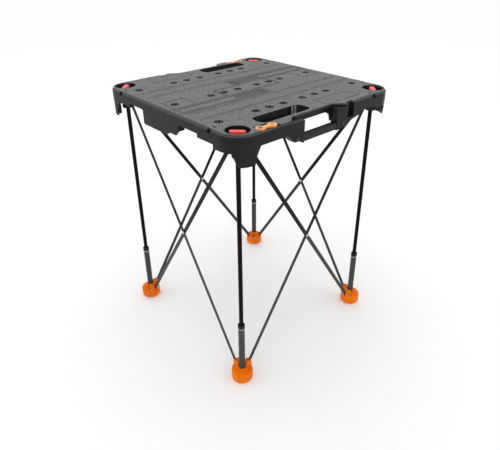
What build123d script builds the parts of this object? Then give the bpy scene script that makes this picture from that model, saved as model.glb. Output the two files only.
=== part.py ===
from build123d import *

import os
from math import asin, atan2, cos, degrees, hypot, radians, sin

# Square folding work table: a moulded top that lifts off four telescoping legs,
# which are braced by a flat-bar scissor on each side so that the frame folds up.
# The frame is in millimetres, +Z up, origin on the floor under the middle of the
# top. -Y is the side with the carry handle nearest the front corner.
# Corners run anticlockwise from above: front (-,-), right (+,-), back (+,+), left
# (-,+). Side n runs from corner n to corner n + 1. Every corner and every side is
# the first one turned by 90 degrees, so pieces are drawn once, at corner 0.

CORNERS = ["front", "right", "back", "left"]
SIDES = ["south", "east", "north", "west"]

# Whole table
work_height = 813.0
top_size = 626.0
top_corner_radius = 60.0
leg_span = 536.0
folded_span = 76.0

# Top moulding
edge_chamfer = 6.0
plate_thickness = 5.0
skirt_wall = 4.0
skirt_depth = 36.0
skirt_notch_depth = 26.0
structure_depth = 24.5
rib_width = 3.0
pod_depth = 82.0
pod_setback = 0.8
pod_return_depth = 14.0
corner_band_start = 228.0
corner_band_depth = 47.0

# Dog holes: three rows across, eight in each
dog_radius = 10.0
dog_collar_wall = 3.5
dog_hole_bevel = 3.0
dog_rows = [-192.0, 0.0, 192.0]
dog_columns = [38.0, 90.0, 140.0, 264.0]

# Hand slot and carry handle, on the south side and again on the north side
slot_length = 178.0
slot_width = 52.0
slot_end_radius = 18.0
slot_middle = -104.0
slot_inset = 62.0
handle_west = -82.0
handle_east = 48.0
handle_inset = 27.0
handle_step = 8.0
handle_wall_depth = 19.5
handle_wall_clear = 14.0
handle_web_depth = 6.5
handle_top_drop = 46.5
handle_bottom_drop = 69.0
handle_bar_width = 17.0
block_depth = 22.0
side_notch_place = 106.0
side_notch_width = 26.0
side_notch_reach = 12.0
side_notch_drop = 44.0
tenon_radius = 5.0
tenon_length = 12.0
screw_radius = 2.5
screw_head_radius = 4.5
screw_head_height = 2.0
screw_drop = 54.0
screw_inset = 26.0

# Deep apron on the west and east sides
apron_start = -92.0
apron_end = 84.0
apron_depth = 68.0
apron_return = 20.0

# Swinging connector link, on the south side and again on the north side
link_pivot_place = -218.0
link_pivot_inset = 20.0
link_centres = 39.0
link_end_radius = 12.5
link_waist = 12.0
link_thickness = 4.5
link_hole_radius = 4.5
link_screw_radius = 3.0
link_head_radius = 5.5
link_head_height = 2.2
link_pad_thickness = 8.0
link_pad_width = 38.0
link_pad_margin = 11.0

# Strap slots: an edge notch with a slit behind it, near each end of a side
strap_slot_place = 214.0
strap_slot_length = 14.0
strap_slit_width = 5.0
strap_slit_inset = 18.0
strap_notch_reach = 7.0
strap_notch_depth = 11.0
strap_pocket_wall = 3.0

# Quarter-turn corner latches
cup_radius = 31.5
cup_wall = 3.0
cup_floor = 3.2
knob_length = 41.0
knob_width = 16.0
knob_height = 15.0
knob_boss_radius = 13.0
knob_drop = 1.5
shaft_radius = 5.0
cam_reach = 17.0
cam_width = 9.0
cam_thickness = 3.7

# Top corner fittings
fitting_boss_radius = 16.0
fitting_height = 43.0
hook_plate = 3.5
hook_reach = 27.0
hook_gap = 5.5
arm_length = 33.0
arm_width = 16.0

# Legs
tube_radius = 6.35
tube_wall = 1.2
tube_foot_gap = 44.0
sleeve_play = 0.65
sleeve_wall = 2.75
sleeve_bottom = 10.0
sleeve_top = 208.0
collar_wall = 0.75
collar_height = 12.0
cap_rim = 0.35
cap_lip = 3.0

# Feet
foot_radius = 32.5
foot_disc_height = 34.0
foot_neck_radius = 14.0
foot_neck_height = 40.0
ear_height = 51.0
ear_width = 20.0

# Scissor bars
pivot_offset = 25.0
foot_pivot_height = 34.0
top_pivot_drop = 42.0
bar_width = 12.0
bar_thickness = 2.5
bar_gap = 0.7
pin_radius = 2.5
rivet_head_radius = 5.0
rivet_head_height = 1.2

# Clearances
running_clearance = 0.05
slide_clearance = 0.3
slot_clearance = 0.35
seat_gap = 0.3

half_top = top_size / 2
half_span = leg_span / 2
slot_centre = (slot_middle, -half_top + slot_inset)
link_pivot = (link_pivot_place, -half_top + link_pivot_inset)
sleeve_bore = tube_radius + sleeve_play
sleeve_radius = sleeve_bore + sleeve_wall
collar_radius = sleeve_radius + collar_wall
cap_radius = tube_radius + cap_rim
seat_height = work_height - structure_depth
fitting_top = seat_height - 2 * seat_gap + 0.1
top_pivot_height = work_height - top_pivot_drop
bar_run = leg_span - 2 * pivot_offset
bar_rise = top_pivot_height - foot_pivot_height
bar_length = hypot(bar_run, bar_rise)
bar_lean = degrees(atan2(bar_run, bar_rise))
fold_angle = bar_lean - degrees(asin((folded_span - 2 * pivot_offset) / bar_length))
leg_growth = bar_length * cos(radians(bar_lean - fold_angle)) - bar_rise
layer_offset = (bar_thickness + bar_gap) / 2

corner_point = (-half_span, -half_span)
opposite = [0, 2]
os.makedirs("parts", exist_ok=True)


def turned(point, quarter):
    """A plan point of side or corner 0, carried round to side or corner `quarter`."""
    for _ in range(quarter):
        point = (-point[1], point[0])
    return point


def level(height, quarter=0):
    """A horizontal sketch plane at a height, turned to a side, facing up."""
    along = turned((1, 0), quarter)
    return Plane(origin=(0, 0, height), x_dir=(*along, 0), z_dir=(0, 0, 1))


def side_face(quarter, distance=half_top):
    """A side's outer face: x along the side, y up from the working surface, z outward."""
    along, out = turned((1, 0), quarter), turned((0, -1), quarter)
    origin = (out[0] * distance, out[1] * distance, work_height)
    return Plane(origin=origin, x_dir=(*along, 0), z_dir=(*out, 0))


def save(piece, name):
    piece.label = name
    export_step(piece, f"parts/{name}.step")


def save_at_corners(piece, name, names=CORNERS):
    for quarter, place in enumerate(names):
        save(piece.rotate(Axis.Z, 90 * quarter), f"{name}_{place}")


# ---------------------------------------------------------------- top moulding


def strap_places(quarter):
    """Where a side has strap slots. The links take the first place on their sides."""
    if quarter in opposite:
        return [strap_slot_place]
    return [-strap_slot_place, strap_slot_place]



block_outlines = [
    [
        (-142, -plate_thickness),
        (-142, -skirt_depth),
        (-131, -49),
        (-118, -60),
        (-100, -61),
        (handle_west - 4, -handle_bottom_drop),
        (handle_west, -handle_bottom_drop),
        (handle_west, -plate_thickness),
    ],
    [
        (handle_east, -plate_thickness),
        (handle_east, -handle_bottom_drop),
        (handle_east + 6, -handle_bottom_drop),
        (93, -65),
        (108, -54),
        (146, -46),
        (166, -skirt_depth),
        (166, -plate_thickness),
    ],
]
apron_outline = [
    (apron_start, -plate_thickness),
    (apron_start, 4 - apron_depth),
    (apron_start + 4, -apron_depth),
    (24, -apron_depth),
    (44, 10 - apron_depth),
    (70, 10 - apron_depth),
    (apron_end, 24 - apron_depth),
    (apron_end, -plate_thickness),
]
pod_flare = [
    (-252, -skirt_depth + 1),
    (-252, 14 - pod_depth),
    (-247, 20 - pod_depth),
    (-241, 32 - pod_depth),
    (-232, -skirt_depth + 2),
    (-224, -skirt_depth + 1),
]
mouth = [
    (handle_west - 51, -half_top - 1),
    (handle_west - 22, -half_top + handle_inset - 1),
    (handle_east + 8, -half_top + handle_inset - 1),
    (handle_east + 43, -half_top - 1),
]
rib_columns = [0.0, 64.0, 115.0, 205.0]
rib_rows = [64.0, 128.0, 218.0]

with BuildPart() as top_panel:
    with BuildSketch(level(work_height)):
        RectangleRounded(top_size, top_size, top_corner_radius)
    extrude(amount=-skirt_depth)
    chamfer(top_panel.faces().sort_by(Axis.Z)[-1].edges(), length=edge_chamfer)
    with BuildSketch(level(work_height - plate_thickness)):
        cavity = top_size - 2 * skirt_wall
        RectangleRounded(cavity, cavity, top_corner_radius - skirt_wall)
    extrude(amount=-skirt_depth, mode=Mode.SUBTRACT)

    # Shallower skirt either side of the deep aprons
    for quarter in (1, 3):
        with BuildSketch(side_face(quarter)):
            for start, end in ((-166, apron_start), (apron_end, 166)):
                middle = ((start + end) / 2, -skirt_notch_depth - 20)
                with Locations(middle):
                    Rectangle(end - start, 40)
        extrude(amount=-2 * skirt_wall, mode=Mode.SUBTRACT)

    # Ribs, dog-hole collars, hand-slot and handle walls, and latch cups
    with BuildSketch(level(work_height - plate_thickness)):
        for sign in (-1, 1):
            for x in rib_columns:
                with Locations((sign * x, 0)):
                    Rectangle(rib_width, cavity)
            for y in rib_rows:
                with Locations((0, sign * y)):
                    Rectangle(cavity, rib_width)
            for x in dog_columns:
                with Locations(*[(sign * x, y) for y in dog_rows]):
                    Circle(dog_radius + dog_collar_wall)
        for quarter in opposite:
            with Locations(turned(slot_centre, quarter)):
                RectangleRounded(
                    slot_length + 2 * rib_width,
                    slot_width + 2 * rib_width,
                    slot_end_radius + rib_width,
                )
        for quarter in range(4):
            with Locations(turned(corner_point, quarter)):
                Circle(cup_radius + cup_wall)
    extrude(amount=plate_thickness - structure_depth)

    # Wall behind each handle bay, with the ribs near it cut back to its lower edge
    bay_length = handle_east - handle_west
    bay_middle = handle_west + bay_length / 2
    with BuildSketch(level(work_height - plate_thickness)):
        wall = (bay_middle, -half_top + handle_inset + skirt_wall / 2)
        with Locations(*[turned(wall, quarter) for quarter in opposite]):
            Rectangle(bay_length + 70, skirt_wall)
    extrude(amount=plate_thickness - handle_wall_depth)
    with BuildSketch(level(work_height - handle_wall_depth)):
        behind = (bay_middle, -half_top + handle_inset + handle_wall_clear / 2)
        with Locations(*[turned(behind, quarter) for quarter in opposite]):
            Rectangle(bay_length + 60, handle_wall_clear)
    extrude(amount=-structure_depth, mode=Mode.SUBTRACT)

    # Pads that carry the connector links
    pad_length = link_centres + 2 * (link_end_radius + link_pad_margin)
    pad = (link_pivot[0] + link_centres / 2, skirt_wall - half_top + link_pad_width / 2)
    with BuildSketch(level(work_height - plate_thickness)):
        with Locations(*[turned(pad, quarter) for quarter in opposite]):
            Rectangle(pad_length, link_pad_width)
    extrude(amount=-link_pad_thickness)

    # Handle blocks on the south and north sides
    for quarter in opposite:
        for outline in block_outlines:
            with BuildSketch(side_face(quarter)):
                Polygon(*outline, align=None)
            extrude(amount=-block_depth)

    # Deep aprons with a return at each end
    for quarter in (1, 3):
        with BuildSketch(side_face(quarter)):
            Polygon(*apron_outline, align=None)
        extrude(amount=-skirt_wall)
        with BuildSketch(level(work_height - plate_thickness, quarter)):
            for end in (apron_start + skirt_wall / 2, apron_end - skirt_wall / 2):
                with Locations((end, -half_top + apron_return / 2)):
                    Rectangle(skirt_wall, apron_return)
        extrude(amount=plate_thickness + 24 - apron_depth)

    # Corner pods: half of each rounded corner carried down as a curved wall, its free
    # edge leaning in, and a shallower band round the other half
    pod_size = top_size - 2 * pod_setback
    pod_plan = [
        (-250, -half_top - 5),
        (-250, -233),
        (-half_top - 5, -half_top + 12),
        (-half_top - 5, -half_top - 5),
    ]
    band_plan = [
        (-half_top - 5, -corner_band_start),
        (-half_top + 25, -corner_band_start),
        (-270, -270),
        (-half_top - 5, -half_top - 5),
    ]
    for plan, depth in ((pod_plan, pod_depth), (band_plan, corner_band_depth)):
        for quarter in range(4):
            with BuildSketch(level(work_height - skirt_depth + 1, quarter)):
                RectangleRounded(pod_size, pod_size, top_corner_radius - pod_setback)
                RectangleRounded(
                    cavity, cavity, top_corner_radius - skirt_wall, mode=Mode.SUBTRACT
                )
                Polygon(*plan, align=None, mode=Mode.INTERSECT)
            extrude(amount=skirt_depth - 1 - depth)
    for quarter in range(4):
        along, out = turned((1, -1), quarter), turned((-1, -1), quarter)
        middle = turned((-half_top + 30, -half_top + 30), quarter)
        diagonal = Plane(
            origin=(*middle, work_height), x_dir=(*along, 0), z_dir=(*out, 0)
        )
        with BuildSketch(diagonal):
            Polygon(
                (-24, -corner_band_depth),
                (-12, -corner_band_depth),
                (-9, -corner_band_depth - 8),
                (4, -pod_depth - 1),
                (-24, -pod_depth - 1),
                align=None,
            )
        extrude(amount=60, mode=Mode.SUBTRACT)
    for quarter in range(4):
        with BuildSketch(level(work_height - skirt_depth + 1, quarter)):
            with Locations((-250 - skirt_wall / 2, -half_top + pod_return_depth / 2)):
                Rectangle(skirt_wall, pod_return_depth)
        extrude(amount=skirt_depth + 4 - pod_depth)
        with BuildSketch(side_face(quarter)):
            Polygon(*pod_flare, align=None)
        extrude(amount=-skirt_wall)

    # Pockets behind the strap notches, which close the skirt round them
    for quarter in range(4):
        with BuildSketch(level(work_height - plate_thickness, quarter)):
            for x in strap_places(quarter):
                with Locations((x, -half_top + (strap_notch_reach + strap_pocket_wall) / 2)):
                    Rectangle(
                        strap_slot_length + 2 * strap_pocket_wall,
                        strap_notch_reach + strap_pocket_wall - 1,
                    )
        extrude(amount=plate_thickness - strap_notch_depth - strap_pocket_wall)

    # Handle mouth: a shallow step over the blocks and an open bay between them
    for quarter in opposite:
        with BuildSketch(level(work_height, quarter)):
            Polygon(*mouth, align=None)
        extrude(amount=-handle_step, mode=Mode.SUBTRACT)
        with BuildSketch(level(work_height, quarter)):
            with Locations((bay_middle, -half_top + handle_inset / 2)):
                Rectangle(bay_length, handle_inset)
        extrude(amount=-pod_depth, mode=Mode.SUBTRACT)
        with BuildSketch(level(work_height, quarter)):
            with Locations((side_notch_place, -half_top + side_notch_reach / 2)):
                Rectangle(side_notch_width, side_notch_reach)
        extrude(amount=-side_notch_drop, mode=Mode.SUBTRACT)

    # A curved web closes the inner corner of each bay, between its wall and its block
    web = [
        (handle_east - 24, 1 - handle_wall_depth),
        (handle_east - 12, -handle_wall_depth - 3),
        (handle_east - 4, -handle_wall_depth - 11),
        (handle_east, -handle_top_drop),
        (handle_east + 20, -handle_top_drop),
        (handle_east + 20, 1 - handle_wall_depth),
    ]
    web_face = half_top - block_depth
    for quarter in opposite:
        with BuildSketch(side_face(quarter, web_face)):
            Polygon(*web, align=None)
        extrude(amount=-handle_web_depth)

    # Hand slots, dog holes and latch cups
    with BuildSketch(level(work_height)):
        for quarter in opposite:
            with Locations(turned(slot_centre, quarter)):
                RectangleRounded(slot_length, slot_width, slot_end_radius)
        for sign in (-1, 1):
            for x in dog_columns:
                with Locations(*[(sign * x, y) for y in dog_rows]):
                    Circle(dog_radius)
    extrude(amount=-structure_depth, mode=Mode.SUBTRACT)
    rims = top_panel.edges().filter_by(GeomType.CIRCLE)
    rims = rims.filter_by(lambda edge: abs(edge.center().Z - work_height) < 0.01)
    rims = rims.filter_by(lambda edge: abs(edge.radius - dog_radius) < 0.01)
    chamfer(rims, length=dog_hole_bevel)
    with BuildSketch(level(work_height)):
        for quarter in range(4):
            with Locations(turned(corner_point, quarter)):
                Circle(cup_radius)
    extrude(amount=cup_floor - structure_depth, mode=Mode.SUBTRACT)
    with BuildSketch(level(work_height)):
        for quarter in range(4):
            with Locations(turned(corner_point, quarter)):
                Circle(shaft_radius + running_clearance)
    extrude(amount=-structure_depth, mode=Mode.SUBTRACT)

    # Strap slots, where no link is in the way
    for quarter in range(4):
        with BuildSketch(level(work_height, quarter)):
            for x in strap_places(quarter):
                with Locations((x, -half_top + strap_slit_inset)):
                    Rectangle(strap_slot_length, strap_slit_width)
        extrude(amount=-plate_thickness, mode=Mode.SUBTRACT)
        with BuildSketch(level(work_height, quarter)):
            for x in strap_places(quarter):
                with Locations((x, -half_top + strap_notch_reach / 2)):
                    Rectangle(strap_slot_length, strap_notch_reach)
        extrude(amount=-strap_notch_depth, mode=Mode.SUBTRACT)

    # Bays for the links, open to the edge, and their screw holes
    link_floor = work_height - link_thickness - 2 * seat_gap
    bay_west = link_pivot[0] - link_end_radius - 1
    bay_east = link_pivot[0] + link_centres + link_end_radius + 1
    bay_back = link_pivot[1] + link_end_radius + 1
    for quarter in opposite:
        with BuildSketch(level(link_floor, quarter)):
            middle = ((bay_west + bay_east) / 2, (bay_back - half_top - 1) / 2)
            with Locations(middle):
                Rectangle(bay_east - bay_west, bay_back + half_top + 1)
        extrude(amount=link_thickness + 1, mode=Mode.SUBTRACT)
        with BuildSketch(level(link_floor)):
            with Locations(turned(link_pivot, quarter)):
                Circle(link_screw_radius)
        extrude(amount=-20, mode=Mode.SUBTRACT)

    # Tenon sockets and screw holes for the handle bars
    bar_middle = -half_top + 1 + handle_bar_width / 2
    grip_height = work_height - (handle_top_drop + handle_bottom_drop) / 2
    for quarter in opposite:
        spot = turned((handle_west - tenon_length, bar_middle), quarter)
        along = turned((1, 0), quarter)
        socket = Plane(origin=(*spot, grip_height), z_dir=(*along, 0))
        with BuildSketch(socket):
            Circle(tenon_radius)
        extrude(amount=bay_length + 2 * tenon_length, mode=Mode.SUBTRACT)
        with BuildSketch(side_face(quarter)):
            for x in (handle_west - screw_inset, handle_east + screw_inset):
                with Locations((x, -screw_drop)):
                    Circle(screw_radius)
        extrude(amount=-block_depth, mode=Mode.SUBTRACT)

    # Moulded lines across the working surface, and two recessed textured bands
    with BuildSketch(level(work_height)):
        for y in (-152, -96, 96, 152):
            with Locations((0, y)):
                Rectangle(top_size - 44, 3)
        for quarter in opposite:
            with Locations(turned((140, 65), quarter)):
                Rectangle(320, 48)
            with Locations(turned((196, 63), quarter)):
                Rectangle(184, 24, mode=Mode.SUBTRACT)
    extrude(amount=-0.8, mode=Mode.SUBTRACT)

save(top_panel.part, "top_panel")

# --------------------------------------------------------------- carry handles

with BuildPart() as handle_bar:
    spot = (handle_west, bar_middle, grip_height)
    with BuildSketch(Plane(origin=spot, x_dir=(0, 1, 0), z_dir=(1, 0, 0))):
        RectangleRounded(handle_bar_width, handle_bottom_drop - handle_top_drop, 6)
    extrude(amount=bay_length)
    spot = (handle_west - tenon_length, bar_middle, grip_height)
    with BuildSketch(Plane(origin=spot, z_dir=(1, 0, 0))):
        Circle(tenon_radius)
    extrude(amount=bay_length + 2 * tenon_length)

with BuildPart() as handle_screws:
    for quarter in opposite:
        with BuildSketch(side_face(quarter)):
            for x in (handle_west - screw_inset, handle_east + screw_inset):
                with Locations((x, -screw_drop)):
                    Circle(screw_radius)
        extrude(amount=-block_depth + 2)
        with BuildSketch(side_face(quarter)):
            for x in (handle_west - screw_inset, handle_east + screw_inset):
                with Locations((x, -screw_drop)):
                    Circle(screw_head_radius)
        extrude(amount=screw_head_height)

save_at_corners(handle_bar.part, "handle_bar", ["south"])
save(handle_bar.part.rotate(Axis.Z, 180), "handle_bar_north")
save(handle_screws.part, "handle_screws")

# ------------------------------------------------------------- connector links

link_bottom = link_floor + seat_gap
link_top = link_bottom + link_thickness
with BuildPart() as connector_link:
    with BuildSketch(level(link_bottom)):
        far_end = (link_pivot[0] + link_centres, link_pivot[1])
        with Locations(link_pivot, far_end):
            Circle(link_end_radius)
        with Locations((link_pivot[0] + link_centres / 2, link_pivot[1])):
            Rectangle(link_centres, link_waist)
    extrude(amount=link_thickness)
    waist_edges = connector_link.edges().filter_by(Axis.Z)
    fillet(waist_edges, radius=2.5)
    with BuildSketch(level(link_bottom)):
        with Locations(link_pivot):
            Circle(link_screw_radius + running_clearance)
        with Locations(far_end):
            Circle(link_hole_radius)
    extrude(amount=link_thickness, mode=Mode.SUBTRACT)
    with BuildSketch(level(link_top)):
        with Locations(link_pivot):
            Circle(link_head_radius + slide_clearance)
    extrude(amount=-link_head_height - seat_gap, mode=Mode.SUBTRACT)

with BuildPart() as link_screws:
    for quarter in opposite:
        with BuildSketch(level(link_top - link_head_height)):
            with Locations(turned(link_pivot, quarter)):
                Circle(link_head_radius)
        extrude(amount=link_head_height)
        with BuildSketch(level(link_top - link_head_height)):
            with Locations(turned(link_pivot, quarter)):
                Circle(link_screw_radius)
        extrude(amount=-12)

save(connector_link.part, "connector_link_south")
save(connector_link.part.rotate(Axis.Z, 180), "connector_link_north")
save(link_screws.part, "link_screws")

# --------------------------------------------------------------- corner latches

knob_top = work_height - knob_drop
knob_base = knob_top - knob_height
cam_top = fitting_top - hook_plate - seat_gap
cam_bottom = cam_top - cam_thickness
shaft_top = knob_base + 7

with BuildPart() as latch_knob:
    with BuildSketch(level(knob_base)):
        with Locations(corner_point):
            Circle(knob_boss_radius)
    extrude(amount=4)
    with BuildSketch(level(knob_base + 2)):
        with Locations(Location(corner_point, -45)):
            SlotOverall(knob_length, knob_width)
    extrude(amount=knob_height - 2)
    fillet(latch_knob.faces().sort_by(Axis.Z)[-1].edges(), radius=3)
    with BuildSketch(level(knob_base)):
        with Locations(corner_point):
            Circle(shaft_radius)
    extrude(amount=shaft_top - knob_base, mode=Mode.SUBTRACT)

with BuildPart() as latch_shaft:
    with BuildSketch(level(cam_bottom)):
        with Locations(corner_point):
            Circle(shaft_radius)
    extrude(amount=shaft_top - cam_bottom)
    with BuildSketch(level(cam_bottom)):
        with Locations(Location(corner_point, -45)):
            with Locations((cam_reach / 2, 0)):
                Rectangle(cam_reach, cam_width)
    extrude(amount=cam_thickness)

save_at_corners(latch_knob.part, "latch_knob")
save_at_corners(latch_shaft.part, "latch_shaft")

# ---------------------------------------------------------- top corner fittings

base_top = cam_bottom - seat_gap
fitting_bottom = base_top - fitting_height + 8
tube_top = base_top - 5
arm_bottom = top_pivot_height - bar_width
slot_start = pivot_offset - bar_width / 2 - 1.5


def corner_slot(next_side, low, high):
    """Cuts the two bar slots of the current part. The one along +X holds its bar in the
    inner or outer layer, and the one along +Y holds its bar in the other layer."""
    slot_width_y = bar_thickness + 2 * slot_clearance
    for along_x in (True, False):
        inward = next_side if along_x else -next_side
        middle = slot_start + 15
        across = inward * layer_offset
        spot = (middle, across) if along_x else (across, middle)
        size = (30, slot_width_y) if along_x else (slot_width_y, 30)
        with BuildSketch(level(low)) as slot:
            with Locations((corner_point[0] + spot[0], corner_point[1] + spot[1])):
                Rectangle(*size)
        extrude(slot.sketch, amount=high - low, mode=Mode.SUBTRACT)


def pivot_planes(height, reach):
    """The two pivot axes of corner 0 at a height: planes facing along each axis."""
    x, y = corner_point
    first = Plane(origin=(x + pivot_offset, y - reach, height), z_dir=(0, 1, 0))
    second = Plane(origin=(x - reach, y + pivot_offset, height), z_dir=(1, 0, 0))
    return first, second


with BuildPart() as top_fitting:
    x, y = corner_point
    with BuildSketch(level(fitting_bottom)):
        with Locations(corner_point):
            Circle(fitting_boss_radius)
    extrude(amount=base_top - fitting_bottom)
    with BuildSketch(level(arm_bottom)):
        with Locations((x + arm_length / 2, y)):
            Rectangle(arm_length, arm_width)
        with Locations((x, y + arm_length / 2)):
            Rectangle(arm_width, arm_length)
        with Locations((x + hook_reach / 2, y + hook_reach / 2)):
            RectangleRounded(hook_reach, hook_reach, 3)
    extrude(amount=base_top - arm_bottom)
    riser = hook_reach - cam_reach + 1
    with BuildSketch(level(base_top)):
        with Locations((x + hook_reach - riser / 2, y + hook_reach - riser / 2)):
            Rectangle(riser, riser)
    extrude(amount=fitting_top - base_top)
    plate_side = hook_reach - hook_gap
    with BuildSketch(level(fitting_top - hook_plate)):
        middle = hook_gap + plate_side / 2
        with Locations((x + middle, y + middle)):
            Rectangle(plate_side, plate_side)
    extrude(amount=hook_plate)
    with BuildSketch(level(fitting_bottom)):
        with Locations(corner_point):
            Circle(tube_radius)
    extrude(amount=tube_top - fitting_bottom, mode=Mode.SUBTRACT)
    corner_slot(-1, fitting_bottom, top_pivot_height + bar_width / 2 + 1)
    for axis_plane in pivot_planes(top_pivot_height, arm_width / 2):
        with BuildSketch(axis_plane):
            Circle(pin_radius)
        extrude(amount=arm_width, mode=Mode.SUBTRACT)

with BuildPart() as top_pins:
    for axis_plane in pivot_planes(top_pivot_height, arm_width / 2):
        with BuildSketch(axis_plane):
            Circle(pin_radius)
        extrude(amount=arm_width)
        with BuildSketch(axis_plane):
            Circle(pin_radius + 1.5)
        extrude(amount=-1.5)

save_at_corners(top_fitting.part, "top_fitting")
save_at_corners(top_pins.part, "top_pins")

# ------------------------------------------------------------------------- legs

with BuildPart() as upper_tube:
    with BuildSketch(level(tube_foot_gap)):
        with Locations(corner_point):
            Circle(tube_radius)
            Circle(tube_radius - tube_wall, mode=Mode.SUBTRACT)
    extrude(amount=tube_top - tube_foot_gap)

with BuildPart() as tube_cap:
    with BuildSketch(level(tube_foot_gap - cap_lip)):
        with Locations(corner_point):
            Circle(cap_radius)
    extrude(amount=cap_lip)
    with BuildSketch(level(tube_foot_gap)):
        with Locations(corner_point):
            Circle(tube_radius - tube_wall)
    extrude(amount=14)

with BuildPart() as leg_sleeve:
    with BuildSketch(level(sleeve_bottom)):
        with Locations(corner_point):
            Circle(sleeve_radius)
            Circle(sleeve_bore, mode=Mode.SUBTRACT)
    extrude(amount=sleeve_top - sleeve_bottom)

with BuildPart() as sleeve_collar:
    with BuildSketch(level(sleeve_top + 4 - collar_height)):
        with Locations(corner_point):
            Circle(collar_radius)
            Circle(sleeve_radius, mode=Mode.SUBTRACT)
    extrude(amount=collar_height - 4)
    with BuildSketch(level(sleeve_top)):
        with Locations(corner_point):
            Circle(collar_radius)
            Circle(tube_radius + slide_clearance, mode=Mode.SUBTRACT)
    extrude(amount=4)
    rim = sleeve_collar.faces().sort_by(Axis.Z)[-1].edges().sort_by(SortBy.LENGTH)[-1]
    fillet(rim, radius=1.5)

save_at_corners(upper_tube.part, "upper_tube")
save_at_corners(tube_cap.part, "tube_cap")
save_at_corners(leg_sleeve.part, "leg_sleeve")
save_at_corners(sleeve_collar.part, "sleeve_collar")

# ------------------------------------------------------------------------- feet

foot_pin_reach = 18.0
with BuildPart() as foot:
    x, y = corner_point
    with BuildSketch(level(0)):
        with Locations(corner_point):
            Circle(foot_radius)
    extrude(amount=foot_disc_height)
    fillet(foot.edges().sort_by(Axis.Z)[-1], radius=5)
    fillet(foot.edges().sort_by(Axis.Z)[0], radius=6)
    with BuildSketch(level(foot_disc_height - 8)):
        with Locations((x + foot_radius / 2, y)):
            Rectangle(foot_radius, ear_width)
        with Locations((x, y + foot_radius / 2)):
            Rectangle(ear_width, foot_radius)
        with Locations(corner_point):
            Circle(foot_radius - 1, mode=Mode.INTERSECT)
    extrude(amount=ear_height - foot_disc_height + 8)
    fillet(foot.faces().sort_by(Axis.Z)[-1].edges(), radius=3)
    with BuildSketch(level(foot_disc_height - 8)):
        with Locations(corner_point):
            Circle(foot_neck_radius)
    extrude(amount=foot_neck_height - foot_disc_height + 8)
    with BuildSketch(level(foot_neck_height)):
        with Locations(corner_point):
            Circle(sleeve_radius + 2.5)
    extrude(amount=ear_height, mode=Mode.SUBTRACT)
    with BuildSketch(level(sleeve_bottom)):
        with Locations(corner_point):
            Circle(sleeve_radius)
    extrude(amount=ear_height, mode=Mode.SUBTRACT)
    slot_floor = foot_pivot_height - bar_width / 2 - 0.5
    corner_slot(1, slot_floor, ear_height + 1)
    for axis_plane in pivot_planes(foot_pivot_height, foot_pin_reach):
        with BuildSketch(axis_plane):
            Circle(pin_radius)
        extrude(amount=2 * foot_pin_reach, mode=Mode.SUBTRACT)

with BuildPart() as foot_pins:
    for axis_plane in pivot_planes(foot_pivot_height, foot_pin_reach):
        with BuildSketch(axis_plane):
            Circle(pin_radius)
        extrude(amount=2 * foot_pin_reach)

save_at_corners(foot.part, "foot")
save_at_corners(foot_pins.part, "foot_pins")

# ----------------------------------------------------------------- scissor bars

# Falling bars run from the top of a side's first corner down to its second, in the
# outer layer. Rising bars run from the foot of the first corner up to the top of
# the second, in the inner layer. A shouldered rivet joins them where they cross.

side_middle = (foot_pivot_height + top_pivot_height) / 2


def bar_plane(lean, layer):
    """The plane of a bar of side 0, x along the bar, facing out of the side."""
    direction = (sin(radians(lean)), 0, cos(radians(lean)))
    origin = (0, corner_point[1] + layer, side_middle)
    return Plane(origin=origin, x_dir=direction, z_dir=(0, -1, 0))


def scissor_bar(lean, layer, centre_hole):
    with BuildPart() as bar:
        with BuildSketch(bar_plane(lean, layer + bar_thickness / 2)):
            SlotCenterToCenter(bar_length, bar_width)
            with Locations((-bar_length / 2, 0), (bar_length / 2, 0)):
                Circle(pin_radius + running_clearance, mode=Mode.SUBTRACT)
            Circle(centre_hole, mode=Mode.SUBTRACT)
        extrude(amount=bar_thickness)
    return bar.part


falling = scissor_bar(-bar_lean, -layer_offset, pin_radius + running_clearance)
rising = scissor_bar(bar_lean, layer_offset, pin_radius)

with BuildPart() as scissor_rivet:
    stack = bar_thickness + bar_gap / 2
    centre = Plane(origin=(0, corner_point[1], side_middle), z_dir=(0, -1, 0))
    with BuildSketch(centre.offset(-stack)):
        Circle(pin_radius)
    extrude(amount=2 * stack + 0.1)
    with BuildSketch(centre.offset(-bar_gap / 2)):
        Circle(rivet_head_radius)
    extrude(amount=bar_gap - 0.1)
    with BuildSketch(centre.offset(stack + 0.1)):
        Circle(rivet_head_radius)
    extrude(amount=rivet_head_height)
    with BuildSketch(centre.offset(-stack)):
        Circle(rivet_head_radius)
    extrude(amount=-rivet_head_height)

save_at_corners(falling, "falling_bar", SIDES)
save_at_corners(rising, "rising_bar", SIDES)
save_at_corners(scissor_rivet.part, "scissor_rivet", SIDES)

print(f"bar length {bar_length:.3f}, lean {bar_lean:.4f} deg, folds {fold_angle:.4f} deg")
print(f"legs grow {leg_growth:.1f} mm, side middle at {side_middle:.1f} mm")
print(f"fitting top {fitting_top:.2f}, base top {base_top:.2f}, cam {cam_bottom:.2f}")
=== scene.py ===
# %% [markdown]
# A square folding work table: a moulded plastic top that lifts off four telescoping
# legs, braced on each side by a pair of crossed flat bars. The solid frame comes ready
# made, so this lesson gives every part its finish and adds the small moulded details
# that the solid model leaves out. Everything is in metres, with Z up and the origin on
# the floor under the middle of the top.

from math import atan2, cos, pi, radians, sin

import bmesh
import bpy
from mathutils import Matrix, Vector


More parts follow.
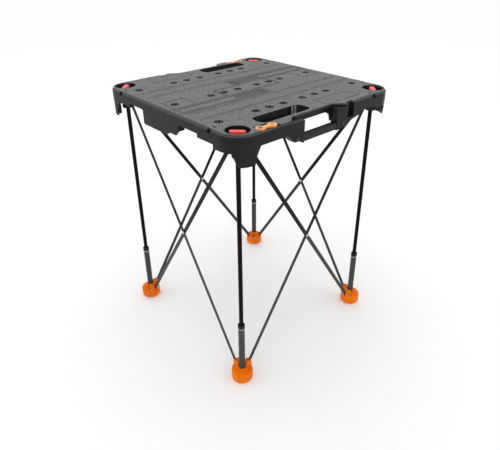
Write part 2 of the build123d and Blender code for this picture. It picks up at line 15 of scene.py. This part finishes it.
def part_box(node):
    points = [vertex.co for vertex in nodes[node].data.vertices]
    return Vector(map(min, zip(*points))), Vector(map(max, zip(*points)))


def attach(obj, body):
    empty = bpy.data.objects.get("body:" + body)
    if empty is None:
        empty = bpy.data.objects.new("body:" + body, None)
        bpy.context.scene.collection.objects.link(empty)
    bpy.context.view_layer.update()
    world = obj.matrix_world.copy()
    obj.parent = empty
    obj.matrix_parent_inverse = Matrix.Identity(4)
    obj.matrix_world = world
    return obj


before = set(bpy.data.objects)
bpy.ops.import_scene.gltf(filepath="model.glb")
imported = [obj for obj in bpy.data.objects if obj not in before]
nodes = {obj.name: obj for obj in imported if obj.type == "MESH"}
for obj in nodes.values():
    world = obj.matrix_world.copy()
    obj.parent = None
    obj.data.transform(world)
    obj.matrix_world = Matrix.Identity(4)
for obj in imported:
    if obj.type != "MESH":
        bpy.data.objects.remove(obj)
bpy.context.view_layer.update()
MM = 0.001
CORNERS = ["front", "right", "back", "left"]

# %% [markdown]
# Most details repeat at every corner or on two opposite sides. They could be placed one
# by one, but then a change to the frame would leave them behind, so their places are
# measured once, from the parts of the frame, and turned about the middle of the top.

# %% Measure the places that the details need
_, top_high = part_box("top_panel")
DECK = top_high.z
TOP_HALF = top_high.x
knob_low, knob_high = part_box("latch_knob_front")
CORNER = -(knob_low.x + knob_high.x) / 2
collar_low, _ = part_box("sleeve_collar_front")
foot_low, foot_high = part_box("foot_front")
print(f"deck {DECK / MM:.0f}, half width {TOP_HALF / MM:.0f}, legs at {CORNER / MM:.0f}")


def turned(x, y, quarter):
    """A plan point carried round to another corner or side."""
    for _ in range(quarter):
        x, y = -y, x
    return x, y


def corner_place(quarter):
    """The plan point of a leg, counted from the front corner."""
    return turned(-CORNER, -CORNER, quarter)


# %% [markdown]
# A finish is a small tree of nodes: one colour field drifting between two close tones,
# one roughness field, and a bump for the grain. A single colour would be quicker, but
# real moulded and painted parts are never one flat value, and it's this slow drift that
# stops them looking like paper cut-outs. The fields read object coordinates, so a finish
# stays fixed to its part as it moves.


# %% Helpers that wire fields into a finish
def new_finish(name):
    """An empty finish, with its tree, its shader and the place on the part."""
    finish = bpy.data.materials.new(name)
    finish.use_nodes = True
    tree = finish.node_tree
    shader = tree.nodes["Principled BSDF"]
    place = tree.nodes.new("ShaderNodeTexCoord").outputs["Object"]
    return finish, tree, shader, place


def noise_field(tree, place, per_metre, detail=3.0, stretch=None):
    """A soft random field with about so many blobs in a metre."""
    if stretch:
        mapping = tree.nodes.new("ShaderNodeMapping")
        mapping.inputs["Scale"].default_value = stretch
        tree.links.new(place, mapping.inputs["Vector"])
        place = mapping.outputs["Vector"]
    field = tree.nodes.new("ShaderNodeTexNoise")
    field.inputs["Scale"].default_value = per_metre
    field.inputs["Detail"].default_value = detail
    tree.links.new(place, field.inputs["Vector"])
    return field.outputs["Fac"]


def spread(tree, field, low, high, to_low=0.0, to_high=1.0):
    """Stretches part of a field's range over another range."""
    node = tree.nodes.new("ShaderNodeMapRange")
    names = ["From Min", "From Max", "To Min", "To Max"]
    for name, value in zip(names, (low, high, to_low, to_high)):
        node.inputs[name].default_value = value
    tree.links.new(field, node.inputs["Value"])
    return node.outputs["Result"]


def arithmetic(tree, operation, *fields):
    """One sum on one or two fields."""
    node = tree.nodes.new("ShaderNodeMath")
    node.operation = operation
    for socket, field in zip(node.inputs, fields):
        tree.links.new(field, socket)
    return node.outputs[0]


# %% Helpers that colour and roughen a surface
def blend_tones(tree, field, first, second):
    """Mixes two colours, or a colour output and a colour, by a field."""
    node = tree.nodes.new("ShaderNodeMix")
    node.data_type = "RGBA"
    tree.links.new(field, node.inputs["Factor"])
    for socket, tone in ((node.inputs[6], first), (node.inputs[7], second)):
        if hasattr(tone, "is_linked"):
            tree.links.new(tone, socket)
        else:
            socket.default_value = (*tone, 1)
    return node.outputs[2]


def grain(tree, shader, field, depth, strength=1.0):
    """Turns a field into a fine surface relief, its depth in metres."""
    bump = tree.nodes.new("ShaderNodeBump")
    bump.inputs["Distance"].default_value = depth
    bump.inputs["Strength"].default_value = strength
    tree.links.new(field, bump.inputs["Height"])
    tree.links.new(bump.outputs["Normal"], shader.inputs["Normal"])


def coordinates(tree, place):
    """The three coordinates of a place, each as its own field."""
    axes = tree.nodes.new("ShaderNodeSeparateXYZ")
    tree.links.new(place, axes.inputs["Vector"])
    return axes


# %% [markdown]
# The handles, fittings, knobs, links and feet are moulded plastic. Each could have a
# finish of its own, but only the tones, the shine and the grain differ, so they share one
# recipe. Faint scuffs come from a long-stretched field, raised to a narrow band, because
# handling leaves short streaks rather than round blotches.


# %% Moulded plastic
def moulded(name, tone, second, rough, relief, shine=0.4, scuffs=0.12, stipple=1400):
    finish, tree, shader, place = new_finish(name)
    drift = spread(tree, noise_field(tree, place, 14), 0.35, 0.65)
    colour = blend_tones(tree, drift, tone, second)
    streaks = noise_field(tree, place, 60, 4, (1.0, 0.25, 1.0))
    worn = spread(tree, streaks, 0.60, 0.72, 0.0, scuffs)
    lighter = tuple(min(1.0, c * 1.4 + 0.04) for c in tone)
    colour = blend_tones(tree, worn, colour, lighter)
    tree.links.new(colour, shader.inputs["Base Color"])
    shine_field = noise_field(tree, place, 45)
    rough_field = spread(tree, shine_field, 0.3, 0.7, rough - 0.06, rough + 0.08)
    tree.links.new(rough_field, shader.inputs["Roughness"])
    shader.inputs["Specular IOR Level"].default_value = shine
    grain(tree, shader, noise_field(tree, place, stipple, 2), relief)
    return finish


# %% Black and coloured plastics
handle_black = (0.0075, 0.0075, 0.0080), (0.012, 0.012, 0.0125)
handle_finish = moulded("handle black", *handle_black, 0.42, 0.00006, shine=0.22, scuffs=0.06)
fitting_black = (0.0055, 0.0055, 0.0058), (0.009, 0.009, 0.0094)
fitting_finish = moulded("fitting black", *fitting_black, 0.45, 0.00006, shine=0.2, scuffs=0.06)
knob_red = (0.86, 0.085, 0.066), (0.80, 0.070, 0.055)
knob_finish = moulded("knob red", *knob_red, 0.36, 0.00003, scuffs=0.08)
link_orange = (0.86, 0.34, 0.085), (0.80, 0.28, 0.06)
link_finish = moulded("link orange", *link_orange, 0.38, 0.00003, scuffs=0.10)
foot_orange = (0.84, 0.185, 0.0008), (0.72, 0.135, 0.001)
foot_finish = moulded(
    "foot orange", *foot_orange, 0.42, 0.00008, shine=0.1, scuffs=0.06, stipple=900
)
print("plastic finishes made")

# %% [markdown]
# The top is one moulding with two surfaces: the working surface has a coarse matt grain
# that catches the light and looks grey, while the skirt, pods and ribs are left smooth
# and nearly black. Both are the same black plastic: the grey is painted top light and
# sheen, and only the grain is a real bump. The faces could be given two finishes by hand,
# but one finish that reads the height needs no list of faces: above the edge it fades
# from the smooth tone to the painted grey, through a painted highlight on the bevelled
# edge. The holes have a bevel too, which gets no painted highlight, so a mask keeps the
# highlight to the outer rim.

# %% A mask for the outer rim
RIM_WIDTH = 0.034
RIM_FADE = 0.003


def at_rim(tree, axes, field):
    """Keeps a field near the outer rim of the top and clears it round the holes."""
    reach = [arithmetic(tree, "ABSOLUTE", axes.outputs[axis]) for axis in ("X", "Y")]
    furthest = arithmetic(tree, "MAXIMUM", *reach)
    inner = TOP_HALF - RIM_WIDTH
    rim = spread(tree, furthest, inner, inner + RIM_FADE)
    return arithmetic(tree, "MULTIPLY", rim, field)


# %% The top moulding's finish
SKIRT_TONES = (0.0070, 0.0072, 0.0075), (0.0120, 0.0122, 0.0128)
# a painted highlight along the bevel of the outer rim
EDGE_HIGHLIGHT_TONE = (0.050, 0.0505, 0.0515)
SCORE_TONE = (0.050, 0.0505, 0.052)
# the two deck tones are painted top light and sheen on the black plastic
DECK_SHEEN_DARK = (0.088, 0.089, 0.091)
DECK_SHEEN_PALE = (0.190, 0.191, 0.194)


def deck_sheen_and_wear(tree, place):
    """Painted top light and sheen on the working surface, mottled, worn paler and scored darker.
    """
    mottle = spread(tree, noise_field(tree, place, 260, 4), 0.34, 0.66)
    deck = blend_tones(tree, mottle, DECK_SHEEN_DARK, DECK_SHEEN_PALE)
    wear = noise_field(tree, place, 26, 5, (0.5, 1.4, 1.0))
    deck = blend_tones(tree, spread(tree, wear, 0.55, 0.75, 0, 0.35), deck, DECK_SHEEN_PALE)
    scratches = noise_field(tree, place, 300, 3, (0.12, 1.0, 1.0))
    return blend_tones(tree, spread(tree, scratches, 0.60, 0.68, 0, 0.6), deck, SCORE_TONE)


def deck_moulding():
    finish, tree, shader, place = new_finish("top moulding")
    axes = coordinates(tree, place)
    height = axes.outputs["Z"]
    drift = spread(tree, noise_field(tree, place, 10, 4), 0.35, 0.65)
    skirt = blend_tones(tree, drift, *SKIRT_TONES)
    bevel = spread(tree, height, DECK - 0.0065, DECK - 0.0050)
    # the bevel of the outer rim is painted with the highlight tone
    edge = blend_tones(tree, at_rim(tree, axes, bevel), skirt, EDGE_HIGHLIGHT_TONE)
    on_top = spread(tree, height, DECK - 0.0011, DECK - 0.0004)
    # above the edge the colour fades into the painted top light and sheen
    colour = blend_tones(tree, on_top, edge, deck_sheen_and_wear(tree, place))
    tree.links.new(colour, shader.inputs["Base Color"])
    tree.links.new(spread(tree, on_top, 0, 1, 0.40, 0.62), shader.inputs["Roughness"])
    shader.inputs["Specular IOR Level"].default_value = 0.14
    grain(tree, shader, noise_field(tree, place, 1100, 2), 0.00012, 0.8)
    return finish


top_finish = deck_moulding()
print("the top's finish has", len(top_finish.node_tree.nodes), "nodes")

# %% [markdown]
# The steel is coated: gloss black on the upper tubes, satin grey on the sleeves and
# black on the flat bars, which turn grey from the crossing down. Powder coat has an
# orange-peel waviness a few millimetres across, so its bump is broader and softer than
# the plastic grain. The grey lower part could be a second finish on part of each bar,
# but reading the height gives a soft border and leaves the bar in one piece.

# %% Coated steel
LOWER_GREY_FROM, LOWER_GREY_FULL = 0.44, 0.38


def coated(name, tone, second, rough, shine=0.5, peel=350, lower_grey=None):
    finish, tree, shader, place = new_finish(name)
    drift = spread(tree, noise_field(tree, place, 18), 0.35, 0.65)
    colour = blend_tones(tree, drift, tone, second)
    rub = noise_field(tree, place, 50, 4, (1.0, 1.0, 0.12))
    worn = spread(tree, rub, 0.62, 0.74, 0.0, 0.25)
    lighter = tuple(c * 1.6 + 0.012 for c in tone)
    colour = blend_tones(tree, worn, colour, lighter)
    # the bars turn grey towards the bottom, from the crossing down
    if lower_grey:
        low_down = spread(tree, coordinates(tree, place).outputs["Z"], LOWER_GREY_FROM, LOWER_GREY_FULL)
        colour = blend_tones(tree, low_down, colour, lower_grey)
    tree.links.new(colour, shader.inputs["Base Color"])
    field = noise_field(tree, place, 70)
    rough_field = spread(tree, field, 0.3, 0.7, rough - 0.05, rough + 0.07)
    tree.links.new(rough_field, shader.inputs["Roughness"])
    shader.inputs["Specular IOR Level"].default_value = shine
    grain(tree, shader, noise_field(tree, place, peel, 1), 0.0001, 0.6)
    return finish


tube_black = (0.0035, 0.0026, 0.0026), (0.006, 0.0045, 0.0045)
tube_finish = coated("gloss black coat", *tube_black, 0.2, shine=0.06)
sleeve_grey = (0.038, 0.038, 0.040), (0.047, 0.047, 0.050)
sleeve_finish = coated("sleeve grey coat", *sleeve_grey, 0.42, shine=0.25)
bar_black = (0.0040, 0.0038, 0.0038), (0.0070, 0.0068, 0.0068)
bar_finish = coated("bar coat", *bar_black, 0.3, shine=0.09, lower_grey=(0.046, 0.046, 0.048))
print("coated steel finishes made")

# %% [markdown]
# Pins and rivets are zinc plated and the screws are black zinc. Plain bare metal would
# mirror the studio too sharply, so the plate drifts between two tones and two degrees
# of roughness, as crystals do in a thin plate.


# %% Plated steel
def plated(name, tone, rough):
    finish, tree, shader, place = new_finish(name)
    shader.inputs["Metallic"].default_value = 1.0
    drift = spread(tree, noise_field(tree, place, 160, 3), 0.3, 0.7)
    duller = tuple(c * 0.75 for c in tone)
    tree.links.new(blend_tones(tree, drift, tone, duller), shader.inputs["Base Color"])
    rough_field = spread(tree, noise_field(tree, place, 300), 0.3, 0.7, rough, rough + 0.15)
    tree.links.new(rough_field, shader.inputs["Roughness"])
    grain(tree, shader, noise_field(tree, place, 2200, 1), 0.00002)
    return finish


zinc_finish = plated("zinc plate", (0.60, 0.60, 0.61), 0.30)
screw_finish = plated("black zinc plate", (0.10, 0.10, 0.105), 0.38)
print("plated steel finishes made")

# %% [markdown]
# Two more tones serve the small details on the top: a dark one where dirt gathers in
# moulded lines, which also paints the shade in the screws' cross recesses, and a pale
# one that paints a highlight on thin ribs and webs that catch the light. They are the
# same plastic as the top, so they use the shared recipe with other tones.

# %% Plastics for the small details
mark_and_shade_tones = (0.016, 0.0162, 0.0165), (0.030, 0.0303, 0.0308)
# the dark tone also paints the shade inside the screws' cross recesses
mark_and_shade_finish = moulded("moulded mark and painted recess shade", *mark_and_shade_tones, 0.6, 0.00008, shine=0.2, scuffs=0.03)
web_highlight_tones = (0.20, 0.202, 0.205), (0.25, 0.252, 0.255)
# the pale tone is a painted highlight for ribs and webs that catch the light
highlight_finish = moulded("moulded web painted highlight", *web_highlight_tones, 0.55, 0.00006, shine=0.3, scuffs=0.05)
print("finishes for the details made")

# %% [markdown]
# Each solid part of the frame now gets its own finish. Fifty-nine lines could do it one
# part at a time. The names say what a part is, though, so a table from the start of a
# name to a finish covers all of them, and a part without an entry would stop the lesson.

# %% Dress the frame
finishes = {
    "top_panel": top_finish,
    "handle_bar": handle_finish,
    "handle_screws": screw_finish,
    "link_screws": screw_finish,
    "connector_link": link_finish,
    "latch_knob": knob_finish,
    "latch_shaft": fitting_finish,
    "top_fitting": fitting_finish,
    "top_pins": zinc_finish,
    "foot_pins": zinc_finish,
    "scissor_rivet": zinc_finish,
    "upper_tube": tube_finish,
    "tube_cap": fitting_finish,
    "leg_sleeve": sleeve_finish,
    "sleeve_collar": fitting_finish,
    "foot": foot_finish,
    "falling_bar": bar_finish,
    "rising_bar": bar_finish,
}
for name, part in nodes.items():
    kind = max((key for key in finishes if name.startswith(key)), key=len)
    part.data.materials.clear()
    part.data.materials.append(finishes[kind])
print("dressed", len(nodes), "parts of the frame")

# %% [markdown]
# The details are small raised or sunken shapes. A bump in the finish could suggest them,
# but it has no edge to catch the light and no depth from the side, so each is a real
# shape: an outline lifted to a slightly smaller top, as a mould needs some draft to let
# the part out. One mesh holds all the shapes of a kind, because they are moulded together.


# %% Helpers for moulded shapes
def finish_piece(name, mesh_data, finish, body, smooth=False):
    """Makes a piece from mesh data, gives it a finish and rides it on its body."""
    mesh = bpy.data.meshes.new(name)
    mesh_data.to_mesh(mesh)
    mesh_data.free()
    piece = bpy.data.objects.new(name, mesh)
    bpy.context.scene.collection.objects.link(piece)
    piece.data.materials.append(finish)
    for face in mesh.polygons:
        face.use_smooth = smooth
    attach(piece, body)
    return piece


def raise_outline(bm, outline, low, high, draft=0.0003):
    """Lifts a closed plan outline from one height to another, drawn in by the draft."""
    middle = sum((Vector(p) for p in outline), Vector((0, 0))) / len(outline)
    bottom = [bm.verts.new((x, y, low)) for x, y in outline]
    top = []
    for x, y in outline:
        away = Vector((x, y)) - middle
        inner = middle + away * max(0.2, 1 - draft / max(away.length, 1e-6))
        top.append(bm.verts.new((inner.x, inner.y, high)))
    count = len(outline)
    bm.faces.new(top)
    bm.faces.new(bottom[::-1])
    for i in range(count):
        after = (i + 1) % count
        bm.faces.new((bottom[i], bottom[after], top[after], top[i]))


def plan_box(x, y, length, width, quarter=0):
    """The four corners of a rectangle about a plan point, in millimetres."""
    corners = [(-1, -1), (1, -1), (1, 1), (-1, 1)]
    points = [turned(x + a * length / 2, y + b * width / 2, quarter) for a, b in corners]
    return [(px * MM, py * MM) for px, py in points]


# %% [markdown]
# The working surface carries moulded lines: brackets round the end holes, long centre
# lines, the frame of a shallow tray, and rules of short ticks beside the rows of holes.
# They could be painted by the finish, but real ones stand a hair proud and collect dirt,
# so they are thin bars in the dark plastic. Half a turn of the top repeats them all.

# %% Lines moulded on the working surface
# each line is its middle x and y, its length along x and its width along y, in millimetres
brackets = [(-250, 32, 72, 2.3), (-286, 2, 2.3, 60), (-215, 4, 2.3, 56)]
centre_lines = [
    (-99, -34, 404, 2.6),
    (103, 1, 2.3, 68),
    (-53, 32, 106, 2.3),
    (-108, -1, 2.3, 64),
    (0, -60, 2.3, 52),
]
tray = [(110, -234, 140, 2.0), (110, -282, 140, 2.0), (40, -258, 2.0, 48), (180, -258, 2.0, 48)]
edge_lines = [(175, -306, 50, 1.3), (-306.5, 0, 1.3, 408)]
lines = brackets + centre_lines + tray + edge_lines
print("lines on each half:", len(lines))

# %% Ticks of the rules
TICK_PITCH = 12.7
TICK_WIDTH = 1.9
HOLE_PLACES = [38, 90, 140, 264]
ticks = []
for step in range(44):
    x = -268 + TICK_PITCH * step
    long = step % 4 == 0
    near_hole = min(abs(abs(x) - place) for place in HOLE_PLACES) < 16
    if not near_hole:
        ticks.append((x, -168, TICK_WIDTH, 11 if long else 6))
        ticks.append((x, -212, TICK_WIDTH, 8 if long else 5))
    ticks.append((x, -144, TICK_WIDTH, 12 if long else 7))
    ticks.append((x + 6, -105, TICK_WIDTH, 12 if long else 7))
marks = bmesh.new()
for quarter in (0, 2):
    for x, y, length, width in lines + ticks:
        outline = plan_box(x, y, length, width, quarter)
        raise_outline(marks, outline, DECK - 0.0004, DECK + 0.00025)
finish_piece("deck_lines", marks, mark_and_shade_finish, "table_top")
print("moulded", 2 * len(lines + ticks), "lines and ticks")

# %% [markdown]
# The two sunken bands are cross-ribbed, so that a workpiece doesn't slide. A checkered
# bump would look flat at a low angle, so the ribs are rows of small blocks. They stop
# short of the plain pad in each band, and stand just under the working surface.

# %% Cross ribs in the sunken bands
FULL_ROWS = (46, 54, 62, 70, 78, 85)
PAD_ROWS = (46, 76, 84)
ribs = bmesh.new()
count = 0
for quarter in (0, 2):
    for step in range(39):
        x = -16 + 8 * step
        for y in PAD_ROWS if 100 < x < 292 else FULL_ROWS:
            shape = plan_box(x + (y % 4), y, 4.4, 5.0, quarter)
            raise_outline(ribs, shape, DECK - 0.0010, DECK - 0.0002, 0.0006)
            count += 1
finish_piece("band_ribs", ribs, top_finish, "table_top")
print("ribs in the bands:", count)

# %% [markdown]
# Each dog hole has small crush ribs down its wall, which grip a post. They catch the
# light from above, and that light is painted into their colour as pale lines inside the
# dark hole. They could be cut with the hole, but as pieces of their own they can take a
# pale tone, a painted highlight on the same plastic.

# %% Crush ribs in the dog holes
HOLE_COLUMNS = [-place for place in reversed(HOLE_PLACES)] + HOLE_PLACES
HOLE_ROWS = [-192, 0, 192]
RIBS_PER_HOLE = 8
RIB_SECTION = [(0.0084, -0.0011), (0.0084, 0.0011), (0.0102, 0.0020), (0.0102, -0.0020)]
hole_ribs = bmesh.new()
for hole_x in HOLE_COLUMNS:
    for hole_y in HOLE_ROWS:
        middle = Vector((hole_x, hole_y)) * MM
        for spoke in range(RIBS_PER_HOLE):
            turn = radians(22.5 + 45 * spoke)
            across = Vector((-sin(turn), cos(turn)))
            out = Vector((cos(turn), sin(turn)))
            outline = [tuple(middle + out * r + across * s) for r, s in RIB_SECTION]
            raise_outline(hole_ribs, outline, DECK - 0.022, DECK - 0.0031, 0.0002)
# the crush ribs take the painted highlight
finish_piece("hole_ribs", hole_ribs, highlight_finish, "table_top")
print("holes with crush ribs:", len(HOLE_COLUMNS) * len(HOLE_ROWS))

# %% [markdown]
# Two thin ribs stand on the inner wall of each hand slot, where they stiffen it behind
# the fingers. Like the crush ribs, they take the pale tone of a painted highlight. Under
# them the wall ends in a rounded lip, so that its edge doesn't cut into the fingers. Both
# are simple lifted outlines: a swept section would be finer than the depth of the slot
# lets anyone see.

# %% Ribs and lips on the walls of the hand slots
webs = bmesh.new()
lips = bmesh.new()
for quarter in (0, 2):
    for x in (-40, -29):
        raise_outline(webs, plan_box(x, -227.5, 3.0, 6.0, quarter), DECK - 0.022, DECK - 0.0015)
    outline = plan_box(-104, -228.5, 142, 7.0, quarter)
    raise_outline(lips, outline, DECK - 0.0243, DECK - 0.0222, 0.0012)
# the slot ribs take the painted highlight
finish_piece("slot_webs", webs, highlight_finish, "table_top")
finish_piece("slot_lips", lips, top_finish, "table_top")
print("ribs and lips in the hand slots made")

# %% [markdown]
# Rings are swept: a small outline is carried round the upright axis of a corner. A torus
# would do for a round section, but these are flattened ovals, so the outline is drawn
# first and then carried round.


# %% Helpers for swept rings
def sweep_ring(bm, centre, outline, steps=64):
    """Carries an outline of radii and heights round an upright axis."""
    rings = []
    for i in range(steps):
        a = 2 * pi * i / steps
        rings.append(
            [bm.verts.new((centre[0] + r * cos(a), centre[1] + r * sin(a), z)) for r, z in outline]
        )
    for i in range(steps):
        here, there = rings[i], rings[(i + 1) % steps]
        for j in range(len(outline)):
            k = (j + 1) % len(outline)
            bm.faces.new((here[j], there[j], there[k], here[k]))


def rounded_profile(radius, height, half_width, half_height, steps=10):
    turns = [2 * pi * i / steps for i in range(steps)]
    return [(radius + half_width * cos(t), height + half_height * sin(t)) for t in turns]


# %% [markdown]
# Each latch cup has a rolled rim at the working surface and a smaller step near its
# floor. The rolls soften the edge that a hand meets when it turns the knob.

# %% Rims of the latch cups
CUP_ROLL = (0.0328, DECK - 0.0002, 0.0016, 0.0010)
CUP_STEP = (0.0235, DECK - 0.0213, 0.0012, 0.0008)
rims = bmesh.new()
for quarter in range(4):
    for roll in (CUP_ROLL, CUP_STEP):
        sweep_ring(rims, corner_place(quarter), rounded_profile(*roll))
finish_piece("cup_rims", rims, top_finish, "table_top", smooth=True)
print("rims on", len(CORNERS), "cups")

# %% [markdown]
# Under each collar the sleeve shows a bright band of bare metal, where the collar was
# pressed on. A painted band would do from far off, but a thin ring has a round edge that
# glints as a turned one does. Each ring rides with its own foot, as the sleeve does.

# %% Bands under the collars
SLEEVE_RADIUS = 0.00975
BAND_HEIGHT = collar_low.z - 0.0030
for quarter, corner in enumerate(CORNERS):
    band = bmesh.new()
    profile = rounded_profile(SLEEVE_RADIUS, BAND_HEIGHT, 0.0004, 0.0012)
    sweep_ring(band, corner_place(quarter), profile)
    name = f"sleeve_band_{corner}"
    finish_piece(name, band, zinc_finish, f"foot_{corner}", smooth=True)
print("bands on", len(CORNERS), "sleeves")

# %% [markdown]
# The knobs are turned by hand, so their long sides are fluted and their tops have a
# small ring round a dimple. The flutes could be cut out of the knob, but standing ribs
# give the same grip and leave the solid knob as it is. They ride with the knob's latch.

# %% Flutes and rings on the knobs
KNOB_TOP = knob_high.z
KNOB_HALF_WIDE = 0.0080
FLUTE_PITCH = 0.0038
for quarter, corner in enumerate(CORNERS):
    grips = bmesh.new()
    centre = Vector(corner_place(quarter))
    along = Vector(turned(1, -1, quarter)).normalized()
    across = Vector((-along.y, along.x))
    half_long, half_wide = along * 0.0009, across * 0.0006
    for side in (-1, 1):
        for step in range(-3, 4):
            middle = centre + along * step * FLUTE_PITCH + across * side * KNOB_HALF_WIDE
            points = [
                middle - half_long - half_wide,
                middle + half_long - half_wide,
                middle + half_long + half_wide,
                middle - half_long + half_wide,
            ]
            shape = [tuple(point) for point in points]
            raise_outline(grips, shape, KNOB_TOP - 0.012, KNOB_TOP - 0.0028, 0.0002)
    sweep_ring(grips, centre, rounded_profile(0.0042, KNOB_TOP, 0.0008, 0.0005), 32)
    finish_piece(f"knob_grips_{corner}", grips, knob_finish, f"latch_{corner}")
print("fluted knobs:", len(CORNERS))

# %% [markdown]
# Every screw head has a cross recess. It could be cut into the head, but at this size
# the eye only reads the dark cross, so each is a thin dark inlay on the head that paints
# the shade of the recess, drawn from two bars in the plane of the head.

# %% Cross recesses
UP = Vector((0, 0, 1))
screw_low, screw_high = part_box("handle_screws")
_, link_screw_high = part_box("link_screws")
SCREW_HEIGHT = (screw_low.z + screw_high.z) / 2
HANDLE_SCREWS = [(-0.108, -screw_high.y), (0.074, -screw_high.y)]
LINK_SCREW = (-0.218, -0.293)


def cross(bm, centre, first, second, out, reach=0.0024, half_wide=0.0004, thick=0.0002):
    """Two thin bars that cross on a screw head, facing out."""
    for along, across in ((first, second), (second, first)):
        corners = []
        for a, b in ((-1, -1), (1, -1), (1, 1), (-1, 1)):
            corners.append(centre + along * a * reach + across * b * half_wide)
        base = [bm.verts.new(point - out * thick) for point in corners]
        top = [bm.verts.new(point + out * thick) for point in corners]
        bm.faces.new(top)
        bm.faces.new(base[::-1])
        for i in range(4):
            bm.faces.new((base[i], base[(i + 1) % 4], top[(i + 1) % 4], top[i]))


crosses = bmesh.new()
for quarter in (0, 2):
    along = Vector((*turned(1, 0, quarter), 0))
    outward = Vector((*turned(0, -1, quarter), 0))
    for x, y in HANDLE_SCREWS:
        head = Vector((*turned(x, y, quarter), SCREW_HEIGHT))
        cross(crosses, head, along, UP, outward)
    head = Vector((*turned(*LINK_SCREW, quarter), link_screw_high.z))
    cross(crosses, head, along, -outward, UP, reach=0.0030, half_wide=0.0005)
bmesh.ops.recalc_face_normals(crosses, faces=crosses.faces)
# the crosses are painted shade of the recesses, in the dark tone
finish_piece("screw_crosses", crosses, mark_and_shade_finish, "table_top")
print("crosses on", 2 * (len(HANDLE_SCREWS) + 1), "screws")

# %% [markdown]
# The feet are moulded with a raised Y on their outer side, where the mould halves meet
# and where the foot takes most wear. A flat Y would leave the round wall at its ends, so
# each arm is a bar of short steps that follow the wall, placed by angle and height.

# %% A bar that follows a round wall
FOOT_RADIUS = (foot_high.x - foot_low.x) / 2
BAR_SECTION = ((-1, -0.002), (-0.6, 0.0009), (0.6, 0.0009), (1, -0.002))


def wall_bar(bm, centre, facing, start, end, half_wide, steps=6):
    """A bar on a round upright wall, from one (angle, height) to another."""
    for step in range(steps):
        loops = []
        for share in (step / steps, (step + 1) / steps):
            angle = facing + start[0] + (end[0] - start[0]) * share
            height = start[1] + (end[1] - start[1]) * share
            loop = []
            for side, proud in BAR_SECTION:
                turn = angle + side * half_wide / FOOT_RADIUS
                r = FOOT_RADIUS + proud
                x, y = centre[0] + r * cos(turn), centre[1] + r * sin(turn)
                loop.append(bm.verts.new((x, y, height)))
            loops.append(loop)
        for j in range(4):
            k = (j + 1) % 4
            bm.faces.new((loops[0][j], loops[0][k], loops[1][k], loops[1][j]))
        bm.faces.new(loops[0][::-1])
        bm.faces.new(loops[1])


# %% Ridges on the feet
for quarter, corner in enumerate(CORNERS):
    ridges = bmesh.new()
    centre = Vector(corner_place(quarter))
    facing = atan2(centre.y, centre.x)
    wall_bar(ridges, centre, facing, (0, 0.007), (0, 0.0185), 0.0014)
    for side in (-1, 1):
        wall_bar(ridges, centre, facing, (0, 0.0175), (side * 0.42, 0.0275), 0.0013)
    finish_piece(f"foot_ridge_{corner}", ridges, foot_finish, f"foot_{corner}")
print("ridged feet:", len(CORNERS))

# %% [markdown]
# A pale floor stands in for a plain studio. A curved backdrop would do too, but a floor
# that is large and matt needs no placing, and all it adds is a soft contact shadow.

# %% Floor
floor_data = bmesh.new()
bmesh.ops.create_grid(floor_data, x_segments=1, y_segments=1, size=12)
floor_mesh = bpy.data.meshes.new("studio_floor")
floor_data.to_mesh(floor_mesh)
floor_data.free()
floor = bpy.data.objects.new("studio_floor", floor_mesh)
bpy.context.scene.collection.objects.link(floor)
floor.location.z = -0.0005
floor_paint = bpy.data.materials.new("pale floor")
floor_paint.use_nodes = True
floor_shader = floor_paint.node_tree.nodes["Principled BSDF"]
floor_shader.inputs["Base Color"].default_value = (0.93, 0.93, 0.93, 1)
floor_shader.inputs["Roughness"].default_value = 0.9
floor_shader.inputs["Specular IOR Level"].default_value = 0.1
floor.data.materials.append(floor_paint)
print("floor laid")

# %% [markdown]
# A broad white sky lights the table evenly, and two soft lamps add some shape: one from
# above and behind, which picks out the working surface, and a weak one from the front.
# Small hard lamps would draw sharp shadows that a plain studio doesn't have.

# %% Light
world = bpy.data.worlds.new("studio sky")
world.use_nodes = True
sky = world.node_tree.nodes["Background"]
sky.inputs["Color"].default_value = (1.0, 1.0, 1.0, 1)
sky.inputs["Strength"].default_value = 1.06
bpy.context.scene.world = world


def soft_lamp(name, place, aim, size, power):
    lamp = bpy.data.lights.new(name, "AREA")
    lamp.size = size
    lamp.energy = power
    holder = bpy.data.objects.new(name, lamp)
    holder.location = place
    towards = Vector(aim) - Vector(place)
    holder.rotation_euler = towards.to_track_quat("-Z", "Y").to_euler()
    bpy.context.scene.collection.objects.link(holder)


soft_lamp("sky lamp", (0.3, 0.9, 3.4), (0, 0, 0.6), 2.4, 14)
soft_lamp("front lamp", (-2.2, -1.6, 1.6), (0, 0, 0.5), 1.6, 3)
bpy.context.scene.view_settings.view_transform = "Standard"
print("studio ready")

# %% [markdown]
# The camera stands low, at a child's eye height, close to the front corner, and looks
# down at the table. A long lens from far off would show the sides truer, but a short one
# makes the near corner loom, as it does to someone standing beside the table.

# %% Camera
EYE = (-0.9402, -1.068, 1.2001)
HEADING, DIP, TILT = 41.6, 27.0, -0.44
camera_data = bpy.data.cameras.new("camera")
camera_data.sensor_width = 36
camera_data.lens = 34.0
camera_data.shift_x = 0.0
camera_data.shift_y = -0.08
camera_data.clip_start = 0.01
camera = bpy.data.objects.new("camera", camera_data)
bpy.context.scene.collection.objects.link(camera)
heading, dip, tilt = radians(HEADING), radians(DIP), radians(TILT)
ahead = Vector((sin(heading) * cos(dip), cos(heading) * cos(dip), -sin(dip)))
sideways = Vector((cos(heading), -sin(heading), 0))
upward = sideways.cross(ahead)
right = cos(tilt) * sideways + sin(tilt) * upward
above = -sin(tilt) * sideways + cos(tilt) * upward
turn_matrix = Matrix((right, above, -ahead)).transposed()
camera.matrix_world = Matrix.Translation(EYE) @ turn_matrix.to_4x4()
bpy.context.scene.camera = camera
print("camera looks down by", DIP, "degrees")
